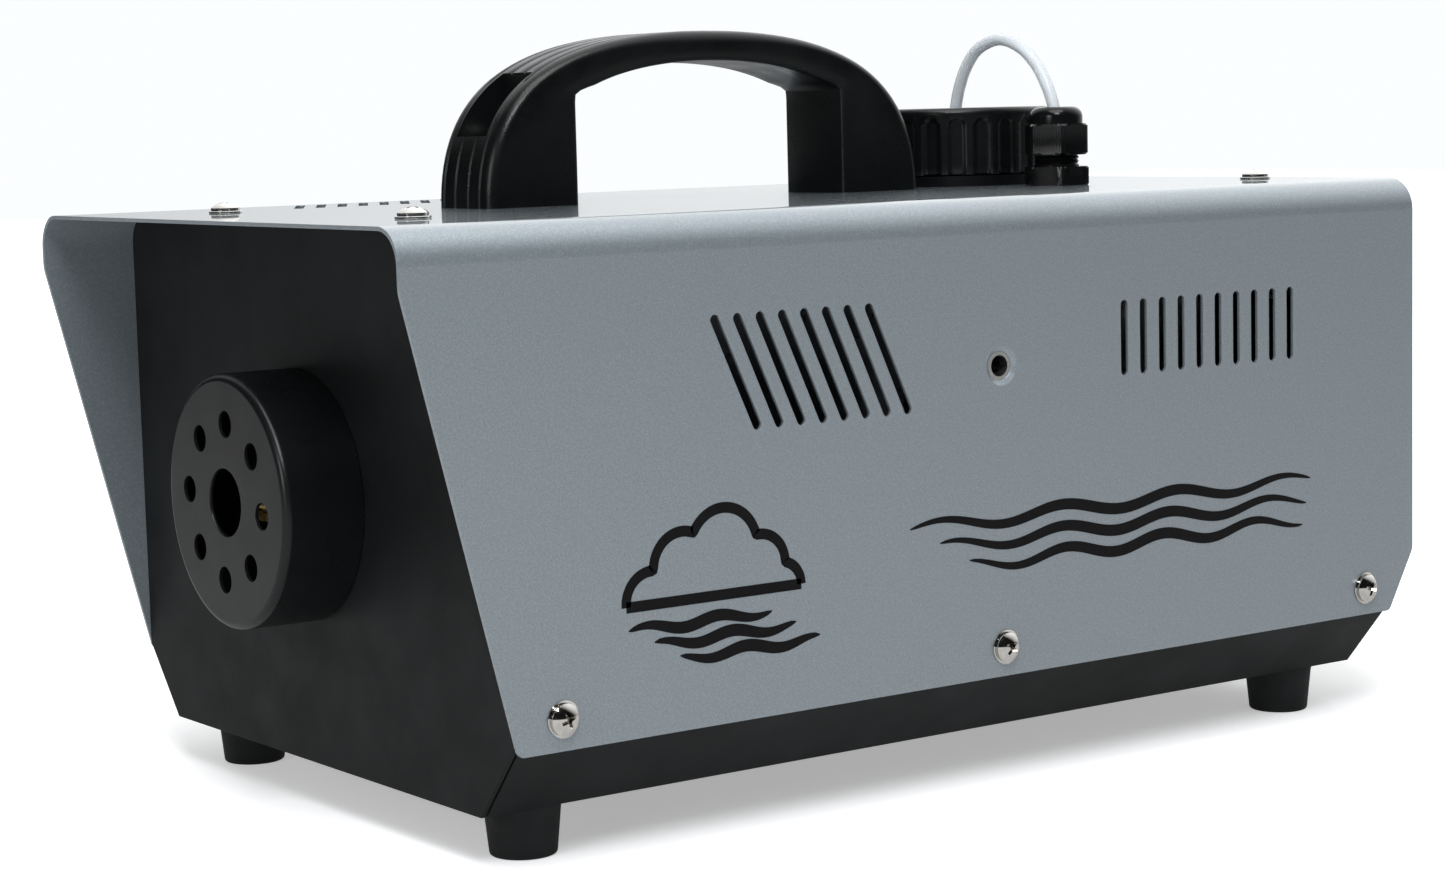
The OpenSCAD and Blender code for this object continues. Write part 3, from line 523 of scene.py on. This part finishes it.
handle_low, handle_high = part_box("carry_handle")
HANDLE_L = handle_high.y - handle_low.y
HANDLE_H = handle_high.z - handle_low.z
HANDLE_HALF_W = handle_high.x
LEG_L = 37 * MM
POCKET_H = 23 * MM
POCKET_HALF_W = 9.2 * MM


def bezier(points, t):
    a, b, c, d = points
    return tuple((1 - t) ** 3 * a[i] + 3 * t * (1 - t) ** 2 * b[i]
                 + 3 * t * t * (1 - t) * c[i] + t ** 3 * d[i] for i in (0, 1))


def handle_station(t):
    """Outer and inner points of the handle's half profile, as (along, up)."""
    half = HANDLE_L / 2
    grip_h = HANDLE_H - 10 * MM
    outer = bezier([(0, 0), (0, 0.72 * HANDLE_H), (0.35 * half, HANDLE_H), (half, HANDLE_H)], t)
    leg_share = 0.42
    corner_h = HANDLE_H - 20 * MM
    if t <= leg_share:
        return outer, (LEG_L, corner_h * t / leg_share)
    inner = bezier([(LEG_L, corner_h), (LEG_L + 13 * MM, HANDLE_H - 13.5 * MM),
                    (half - 22 * MM, grip_h), (half, grip_h)],
                   (t - leg_share) / (1 - leg_share))
    return outer, inner


def handle_ring(depth, leg_part):
    """Cross-section as (across, in from the outer face), clockwise from the outer left."""
    w, edge, inner_edge, hollow = HANDLE_HALF_W, 4.6 * MM, 1.6 * MM, 2.2 * MM
    ring = [(-w + edge, 0)]
    for groove in (-11, -4, 4, 11):
        for off, down in ((-0.8, 0), (-0.3, 0.5), (0.3, 0.5), (0.8, 0)):
            ring.append(((groove + off) * MM, down * MM))
    ring.append((w - edge, 0))
    for k in range(1, 7):
        a = math.pi / 2 * k / 6
        ring.append((w - edge + edge * math.sin(a), edge - edge * math.cos(a)))
    ring.append((w, (edge + depth - inner_edge) / 2))
    for k in range(0, 4):
        a = math.pi / 2 * k / 3
        ring.append((w - inner_edge + inner_edge * math.cos(a),
                     depth - inner_edge + inner_edge * math.sin(a) - hollow * leg_part))
    for k in range(1, 8):
        x = (w - inner_edge) * (1 - 2 * k / 8)
        bulge = hollow * leg_part * (x / (w - inner_edge)) ** 2
        ring.append((x, depth - bulge))
    for k in range(0, 4):
        a = math.pi / 2 * k / 3
        ring.append((-w + inner_edge - inner_edge * math.sin(a),
                     depth - inner_edge + inner_edge * math.cos(a) - hollow * leg_part))
    ring.append((-w, (edge + depth - inner_edge) / 2))
    for k in range(0, 6):
        a = math.pi / 2 * k / 6
        ring.append((-w + edge - edge * math.cos(a), edge - edge * math.sin(a)))
    return ring


def make_handle():
    half_steps = 34
    verts, faces, count = [], [], 0
    stations = [k / half_steps for k in range(half_steps + 1)]
    for step in range(2 * half_steps + 1):
        first_half = step <= half_steps
        t = stations[step if first_half else 2 * half_steps - step]
        outer, inner = handle_station(t)
        way = 1 if first_half else -1
        start = handle_low.y if first_half else handle_high.y
        far = Vector((0, start + way * outer[0], handle_low.z + outer[1]))
        near = Vector((0, start + way * inner[0], handle_low.z + inner[1]))
        inward = (near - far).normalized()
        leg_part = max(0.0, min(1.0, (0.5 - t) / 0.1))
        ring = handle_ring((near - far).length, leg_part)
        count = len(ring)
        verts += [far + inward * down + Vector((x, 0, 0)) for x, down in ring]
    for i in range(2 * half_steps):
        for k in range(count):
            m = (k + 1) % count
            a, b = i * count, (i + 1) * count
            faces.append((a + k, a + m, b + m, b + k))
    last = 2 * half_steps * count
    faces += [tuple(range(count)), tuple(last + k for k in range(count - 1, -1, -1))]
    handle = as_object("carry_handle_moulded", verts, faces)
    return piece(cut(handle, [handle_pocket(1), handle_pocket(-1)]), "root", "abs_black",
                 "carry_handle")


def handle_pocket(way):
    """Cutter for the screw pocket in one end's outer curve."""
    start = handle_low.y if way > 0 else handle_high.y
    outside, deep, above = -2 * MM, 23 * MM, 62 * MM
    outline = [(outside, POCKET_H), (deep, POCKET_H), (deep, above), (outside, above)]
    verts = [Vector((x, start + way * e, handle_low.z + h))
             for x in (-POCKET_HALF_W, POCKET_HALF_W) for e, h in outline]
    n = len(outline)
    faces = [tuple(range(n)), tuple(range(2 * n - 1, n - 1, -1))]
    faces += [(k, (k + 1) % n, n + (k + 1) % n, n + k) for k in range(n)]
    return as_object("pocket", verts, faces)


# ---- fasteners ----

def pan_head(head_r, head_h, shank_l):
    """Cross-recess pan head on a separate washer, seated on z = 0."""
    washer_t = 0.7 * MM
    edge = 0.35 * head_h
    dome = head_h - edge
    dome_r = (head_r ** 2 + dome ** 2) / (2 * dome)
    rows = [(0, -shank_l), (2.35 * MM, -shank_l), (2.35 * MM, washer_t), (head_r * 0.97, washer_t),
            (head_r, washer_t + 0.12 * MM), (head_r, washer_t + edge)]
    for k in range(1, 10):
        r = head_r * (1 - k / 10)
        rows.append((r, washer_t + head_h - dome_r + math.sqrt(dome_r ** 2 - r ** 2)))
    rows.append((0, washer_t + head_h))
    head = lathe("head", rows, 48)
    arm, wide = 2.9 * MM, 0.62 * MM
    cross = []
    for quarter in range(4):
        a = quarter * math.pi / 2
        for x, y in ((wide, wide), (wide, arm), (-wide, arm)):
            cross.append((x * math.cos(a) - y * math.sin(a), x * math.sin(a) + y * math.cos(a)))
    top = washer_t + head_h + 0.4 * MM
    recess = prism("recess", cross, top, top - 2.7 * MM, top_scale=0.45)
    cut(head, [recess])
    out = head_r + 0.7 * MM
    washer = lathe("washer", [(2.5 * MM, 0), (out - 0.1 * MM, 0), (out, 0.12 * MM),
                              (out, washer_t - 0.15 * MM), (out - 0.2 * MM, washer_t),
                              (2.5 * MM, washer_t)], 48, closed=True)
    return joined("pan_head", [head, washer])


def make_screws():
    master = pan_head(4.8 * MM, 2.8 * MM, 8 * MM)
    low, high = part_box("side_screws")
    washer_r = 5.5 * MM
    middle_y = 12.5 * MM
    z = (low.z + high.z) / 2
    spots = [(side, y, spin) for side, spins in ((1, (20, 52, 75)), (-1, (8, 61, 33)))
             for y, spin in zip((low.y + washer_r, middle_y, high.y - washer_r), spins)]
    side_screws = [copied(master, facing((side, 0, 0), (side * HALF_W, y, z), spin))
                   for side, y, spin in spots]
    piece(joined("side_screws_detailed", side_screws), "root", "nickel_screw", "side_screws")
    low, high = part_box("top_screws")
    front_x, rear_x = 61.5 * MM, 65 * MM
    spots = [(front_x, low.y + washer_r, 15), (-front_x, low.y + washer_r, 70),
             (rear_x, high.y - washer_r, 40), (-rear_x, high.y - washer_r, 5)]
    top_screws = [copied(master, facing((0, 0, 1), (x, y, TOP), spin)) for x, y, spin in spots]
    piece(joined("top_screws_detailed", top_screws), "root", "nickel_screw", "top_screws")
    bpy.data.objects.remove(master)


# ---- shroud ----

def make_shroud():
    r_out = (shroud_high.x - shroud_low.x) / 2
    depth = shroud_high.y - shroud_low.y
    sheet = 1.1 * MM
    edge = 2.5 * MM
    rows = [(r_out - sheet, 0), (r_out - 0.3 * MM, 0), (r_out, 0.3 * MM)]
    for k in range(11):
        a = math.pi / 2 * k / 10
        rows.append((r_out - edge + edge * math.cos(a), depth - edge + edge * math.sin(a)))
    hole = 10.6 * MM
    lip = 0.3 * MM
    rows += [(24 * MM, depth), (hole + lip, depth), (hole + 0.1 * MM, depth - 0.1 * MM),
             (hole, depth - lip), (hole, depth - sheet)]
    inner_edge = edge - sheet
    for k in range(7):
        a = math.pi / 2 * (1 - k / 6)
        rows.append((r_out - edge + inner_edge * math.cos(a),
                     depth - edge + inner_edge * math.sin(a)))
    shell = lathe("nozzle_shroud_drawn", rows, 144, closed=True)
    drills = []
    drill_r, ring_r, drill_reach = 4.25 * MM, 24.6 * MM, 4 * MM
    for k in range(8):
        a = math.radians(45 * k - 5)
        outline = [(drill_r * math.cos(TAU * i / 32), drill_r * math.sin(TAU * i / 32))
                   for i in range(32)]
        drill = prism("drill", outline, depth - drill_reach, depth + drill_reach)
        at = (ring_r * math.cos(a), ring_r * math.sin(a), 0)
        drills.append(place(drill, Matrix.Translation(at)))
    cut(shell, [joined("drills", drills)])
    round_edges(shell, 0.3 * MM, 2, 60, 40)
    middle = (shroud_low + shroud_high) / 2
    turn = Matrix.Rotation(math.pi / 2, 4, "X")
    place(shell, Matrix.Translation((middle.x, shroud_high.y, middle.z)) @ turn)
    return piece(shell, "root", "shroud_paint", "nozzle_shroud")


# ---- cap, gland and hose ----

def make_cap():
    low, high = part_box("tank_cap")
    height = high.z - low.z
    r_cap = (high.x - low.x) / 2
    ribs = 24
    groove_half = 2.75 * MM
    depth = 1.0 * MM
    groove_top = height - 6.6 * MM
    edge = 2.2 * MM

    def groove(row, r, angle, z):
        if row >= wall_rows:
            return r
        pitch = TAU / ribs
        off = abs((angle / pitch) % 1 - 0.5) * pitch * r_cap
        half = groove_half
        if z > groove_top:
            half = math.sqrt(max(groove_half ** 2 - (z - groove_top) ** 2, 0))
        soft = 0.5 * MM
        share = min(max((half - off) / soft + 0.5, 0), 1) if half > 0 else 0
        return r - depth * share * share * (3 - 2 * share)

    rows = [(r_cap - 0.4 * MM, 0), (r_cap, 0.4 * MM)]
    rows += [(r_cap, groove_top * k / 4) for k in range(1, 5)]
    rows += [(r_cap, groove_top + groove_half * k / 8) for k in range(1, 9)]
    wall_rows = len(rows)
    rows += [(r_cap - edge + edge * math.cos(math.pi / 2 * k / 6),
              height - edge + edge * math.sin(math.pi / 2 * k / 6)) for k in range(7)]
    rows += [(r_cap - 5 * MM, height), (r_cap - 5.8 * MM, height - 0.5 * MM),
             (10 * MM, height - 0.5 * MM), (9.4 * MM, height), (7 * MM, height),
             (6.6 * MM, height - 0.4 * MM), (6.6 * MM, height - 3.2 * MM),
             (29.6 * MM, height - 3.2 * MM), (29.6 * MM, 0)]
    cap = lathe("tank_cap_ribbed", rows, ribs * 14, closed=True, radius=groove, sharp_deg=50)
    place(cap, Matrix.Translation((CAP_AT.x, CAP_AT.y, low.z)))
    return piece(cap, "cap", "abs_black", "tank_cap")


def hexagon(apothem, angle, corner):
    """Radius of a hexagon with clipped corners at an angle."""
    off = (angle + math.pi / 6) % (math.pi / 3) - math.pi / 6
    return min(apothem / math.cos(off), corner)


def make_gland():
    low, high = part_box("gland_nut")
    hex_h, dome_r = 11 * MM, 9.4 * MM
    height = high.z - low.z

    def nut_radius(row, r, angle, z):
        if r < 9.6 * MM:
            return r
        ridge = 0.12 * MM * max(0.0, math.cos(angle * 84))
        shown = hexagon(10.25 * MM, angle, r)
        return shown - (ridge if 0.8 * MM < z < hex_h - 0.8 * MM else 0)

    rows = [(8.1 * MM, 0), (10.5 * MM, 0), (11.55 * MM, 0.7 * MM), (11.55 * MM, 0.9 * MM),
            (11.55 * MM, hex_h - 0.9 * MM), (11.55 * MM, hex_h - 0.7 * MM), (10.5 * MM, hex_h)]
    rows += [(dome_r, hex_h + 0.05 * MM), (dome_r, height - 3.6 * MM)]
    rows += [(dome_r - 3.6 * MM + 3.6 * MM * math.cos(math.pi / 2 * k / 8),
              height - 3.6 * MM + 3.6 * MM * math.sin(math.pi / 2 * k / 8)) for k in range(1, 9)]
    rows += [(4.6 * MM, height - 0.3 * MM), (4.6 * MM, 8 * MM), (8.1 * MM, 8 * MM)]
    nut = lathe("gland_nut_domed", rows, 252, closed=True, radius=nut_radius, sharp_deg=30)
    place(nut, Matrix.Translation((GLAND_AT.x, GLAND_AT.y, low.z)))
    piece(nut, "root", "nylon_black", "gland_nut")

    def body_radius(row, r, angle, z):
        return hexagon(10.5 * MM, angle, r) if r > 9.6 * MM else r

    low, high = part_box("gland_body")
    base = TOP - low.z
    rows = [(3.3 * MM, 0), (7.9 * MM, 0), (7.9 * MM, base), (11.3 * MM, base),
            (11.95 * MM, base + 0.5 * MM), (11.95 * MM, base + 6.1 * MM),
            (11.2 * MM, base + 6.6 * MM), (9.4 * MM, base + 6.6 * MM),
            (8 * MM, base + 6.7 * MM)]
    threads = 7
    for k in range(threads):
        z = base + (7.2 + 1.3 * k) * MM
        rows += [(8 * MM, z), (7.5 * MM, z + 0.55 * MM)]
    rows += [(8 * MM, base + 16.8 * MM), (8 * MM, high.z - low.z), (3.3 * MM, high.z - low.z)]
    body = lathe("gland_body_hexed", rows, 120, closed=True, radius=body_radius, sharp_deg=30)
    place(body, Matrix.Translation((GLAND_AT.x, GLAND_AT.y, low.z)))
    piece(body, "root", "nylon_black", "gland_body")


# The hose's route, the same points as in the design, in millimetres
HOSE_ROUTE = [(-20, 112.5, 40), (-20, 112.5, 120), (-20, 112.5, 190), (-19.4, 112.5, 206),
              (-17.9, 112.5, 216.6), (-15.9, 112.6, 224.3), (-11.6, 112.7, 232.5),
              (-4.6, 112.8, 239), (6.8, 113, 241.9), (18, 113.2, 238.6), (26.4, 113.3, 232),
              (31.8, 113.4, 224.3), (34.5, 113.5, 218), (35.8, 113.5, 212), (36, 113.5, 200),
              (36, 113.5, 176), (45, 116, 142), (66, 122, 112), (80, 128, 90),
              (84, 126, 74), (82, 114, 65), (80, 102, 64), (80, 92.4, 64)]


def make_hose():
    route = [tuple(v * MM for v in p) for p in HOSE_ROUTE]
    hose = tube("intake_hose_clear", smooth_path(route, 8), 2.19 * MM, 1.4 * MM, 24)
    return piece(hose, "root", "clear_hose", "intake_hose")


# ---- spring ----

def make_spring():
    """The pump's return spring, wound as wire at one fixed length."""
    low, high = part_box("pump_spring")
    middle = (low + high) / 2
    length = high.y - low.y
    wire = 0.44 * MM
    radius = (high.x - low.x) / 2 - 0.45 * MM
    turns, steps, stroke = 5, 100, 3 * MM
    path = []
    for i in range(steps + 1):
        a = TAU * turns * i / steps
        along = low.y + wire + (length - 2 * wire) * i / steps
        path.append(Vector((middle.x + radius * math.cos(a), along,
                            middle.z + radius * math.sin(a))))
    spring = piece(tube("pump_spring_wound", path, wire, sides=10), "root", "zinc_steel",
                   "pump_spring")
    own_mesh(spring)


# ---- feet ----

def make_feet():
    for name in ("foot_front_left", "foot_front_right", "foot_rear_left", "foot_rear_right"):
        low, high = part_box(name)
        height = high.z - low.z
        r_top = (high.x - low.x) / 2
        r_low = r_top - 1.5 * MM
        edge = 1.1 * MM
        rows = [(5.2 * MM, 0.3 * MM), (5.5 * MM, 0), (r_low - edge, 0)]
        rows += [(r_low - edge + edge * math.sin(math.pi / 2 * k / 4),
                  edge - edge * math.cos(math.pi / 2 * k / 4)) for k in range(1, 5)]
        rows += [(r_top - 0.15 * MM, height - 1.6 * MM), (r_top, height - 1.3 * MM),
                 (r_top, height - 0.2 * MM), (r_top - 0.2 * MM, height), (2.1 * MM, height),
                 (2.1 * MM, 7 * MM), (5.2 * MM, 7 * MM)]
        foot = lathe(name + "_moulded", rows, 72, closed=True)
        place(foot, Matrix.Translation(((low.x + high.x) / 2, (low.y + high.y) / 2, low.z)))
        piece(foot, "root", "foot_rubber", name)


# ---- printed marks ----

def ribbon(path, width, side):
    """Flat printed stroke on a side wall along (along, up) points; width(t) is its width."""
    lift, thick = 0.01 * MM, 0.03 * MM
    verts, faces = [], []
    last = len(path) - 1
    for i, (y, z) in enumerate(path):
        ahead = Vector(path[min(i + 1, last)]) - Vector(path[max(i - 1, 0)])
        across = Vector((-ahead.y, ahead.x)).normalized() * width(i / last) / 2
        for x in (HALF_W + lift, HALF_W + lift + thick):
            for s in (-1, 1):
                verts.append((side * x, y + s * across.x, z + s * across.y))
    for i in range(last):
        a, b = 4 * i, 4 * (i + 1)
        for p, q in ((0, 1), (1, 3), (3, 2), (2, 0)):
            faces.append((a + p, a + q, b + q, b + p))
    faces += [(0, 2, 3, 1), (4 * last, 4 * last + 1, 4 * last + 3, 4 * last + 2)]
    return as_object("stroke", verts, faces)


def cloud_path(centre_y, centre_z, size):
    """Outline of a small cloud: a flat base and five puffs."""
    puffs = [(-0.72, 0.02, 0.3), (-0.36, 0.32, 0.34), (0.12, 0.44, 0.4), (0.55, 0.24, 0.3),
             (0.8, 0.0, 0.24)]
    path = []
    for i in range(0, 181):
        a = math.pi - math.pi * i / 180
        ray = Vector((math.cos(a), math.sin(a)))
        reach = 0
        for y, z, r in puffs:
            along = ray.x * y + ray.y * z
            miss = r * r - (y * y + z * z - along * along)
            if miss > 0:
                reach = max(reach, along + math.sqrt(miss))
        path.append((centre_y + size * ray.x * reach, centre_z + size * ray.y * reach))
    return path


def make_prints():
    """A generic cloud and drifting lines where the real machine carries its printing."""
    strokes = []

    def even(t):
        return 3.3 * MM

    def taper(t):
        return (0.4 + 3.4 * math.sin(math.pi * t) ** 0.5) * MM

    cloud = cloud_path(-101 * MM, 76 * MM, 31 * MM)
    for side in (1, -1):
        strokes.append(ribbon(cloud, even, side))
        strokes.append(ribbon([cloud[-1], cloud[0]], even, side))
        for k in range(3):
            start = (-132 + 9 * k) * MM
            points = [(start + 52 * MM * i / 30,
                       (69 - 5.2 * k) * MM + 1.1 * MM * math.sin(TAU * i / 15 + k))
                      for i in range(31)]
            strokes.append(ribbon(points, taper, side))
        for k in range(3):
            start, length = (-26 + 12 * k) * MM, (178 - 14 * k) * MM
            points = [(start + length * i / 80,
                       (88 - 7 * k) * MM + 1.9 * MM * math.sin(TAU * 3.5 * i / 80 + 0.9 * k))
                      for i in range(81)]
            strokes.append(ribbon(points, taper, side))
    prints = piece(joined("side_prints", strokes), "root", "cover_paint")
    dress(prints, MATERIALS["print_ink"])


# ---- stage and light ----

def make_stage():
    """White floor that glows more towards the distance, and looks duller in reflections."""
    reach, thick = 6, 0.02
    corners = [(-reach, -reach), (reach, -reach), (reach, reach), (-reach, reach)]
    floor = prism("floor", corners, -thick, 0.0)
    white = surface("floor_white", (0.93, 0.93, 0.93), 0.7, vary=0.01, vary_scale=2,
                    specular=0.1, relief=[(40, 0.0002, 2)])
    tree = white.node_tree
    bsdf = tree.nodes["Principled BSDF"]
    glossy = tree.nodes.new("ShaderNodeLightPath").outputs["Is Glossy Ray"]
    shown = bsdf.inputs["Base Color"].links[0].from_socket
    tree.links.new(blend_colours(tree, glossy, shown, (0.4, 0.4, 0.4)),
                   bsdf.inputs["Base Color"])
    away = tree.nodes.new("ShaderNodeVectorMath")
    away.operation = "LENGTH"
    where = tree.nodes.new("ShaderNodeTexCoord").outputs["Object"]
    tree.links.new(where, away.inputs[0])
    glow = spread(tree, away.outputs["Value"], 0.4, 1.0, (0.6, 1.6))
    tree.links.new(pick_value(tree, glossy, glow, 0.16), bsdf.inputs["Emission Strength"])
    bsdf.inputs["Emission Color"].default_value = (1, 1, 1, 1)
    dress(floor, white)


def area_light(name, at, size, power, aim=(0, 0, 0.12), tint=(1, 1, 1)):
    data = bpy.data.lights.new(name, "AREA")
    data.shape = "RECTANGLE"
    data.size, data.size_y = size
    data.energy = power
    data.color = tint
    light = bpy.data.objects.new(name, data)
    way = Vector(aim) - Vector(at)
    light.matrix_world = Matrix.Translation(at) @ way.to_track_quat("-Z", "Y").to_matrix().to_4x4()
    bpy.context.scene.collection.objects.link(light)


def level_by_direction(tree, way, low, high, clip):
    """World brightness that grows towards a direction."""
    where = tree.nodes.new("ShaderNodeTexCoord")
    toward = tree.nodes.new("ShaderNodeVectorMath")
    toward.operation = "DOT_PRODUCT"
    toward.inputs[1].default_value = way
    tree.links.new(where.outputs["Generated"], toward.inputs[0])
    return spread(tree, toward.outputs["Value"], low, high, clip)


def pick_value(tree, factor, first, second):
    node = tree.nodes.new("ShaderNodeMix")
    node.data_type = "FLOAT"
    tree.links.new(factor, node.inputs["Factor"])
    for name, value in (("A", first), ("B", second)):
        if isinstance(value, float):
            node.inputs[name].default_value = value
        else:
            tree.links.new(value, node.inputs[name])
    return node.outputs["Result"]


def make_light():
    """A white studio, dim where the dark faces mirror it. Soft light, reflections and the
    background each have a level of their own."""
    world = bpy.data.worlds.new("studio")
    bpy.context.scene.world = world
    world.use_nodes = True
    world.cycles.sampling_method = "NONE"
    tree = world.node_tree
    background = tree.nodes["Background"]
    soft = level_by_direction(tree, (0, 0, 1), 0.02, 0.6, (0.05, 0.9))
    behind_above = (-0.35, 0.58, 0.74)
    mirrored = level_by_direction(tree, behind_above, 0.01, 1.75, (0.35, 0.93))
    sight = tree.nodes.new("ShaderNodeLightPath")
    level = pick_value(tree, sight.outputs["Is Glossy Ray"], soft, mirrored)
    level = pick_value(tree, sight.outputs["Is Camera Ray"], level, 1.0)
    level = pick_value(tree, sight.outputs["Is Transmission Ray"], level, 1.0)
    tree.links.new(level, background.inputs["Strength"])
    background.inputs["Color"].default_value = (0.97, 0.99, 1, 1)
    area_light("overhead", (0.5, -0.3, 1.9), (1.3, 1.1), 26)
    area_light("upper_right", (1.25, -0.8, 1.55), (0.6, 0.6), 20, tint=(0.95, 0.97, 1))
    area_light("front", (0.7, -2.0, 0.7), (0.6, 0.6), 9)
    bpy.context.scene.view_settings.view_transform = "Standard"


MATERIALS = make_materials()
add_camera()
dress_cad_nodes()
make_handle()
make_screws()
make_shroud()
make_cap()
make_gland()
make_hose()
make_spring()
make_feet()
make_prints()
make_stage()
make_light()
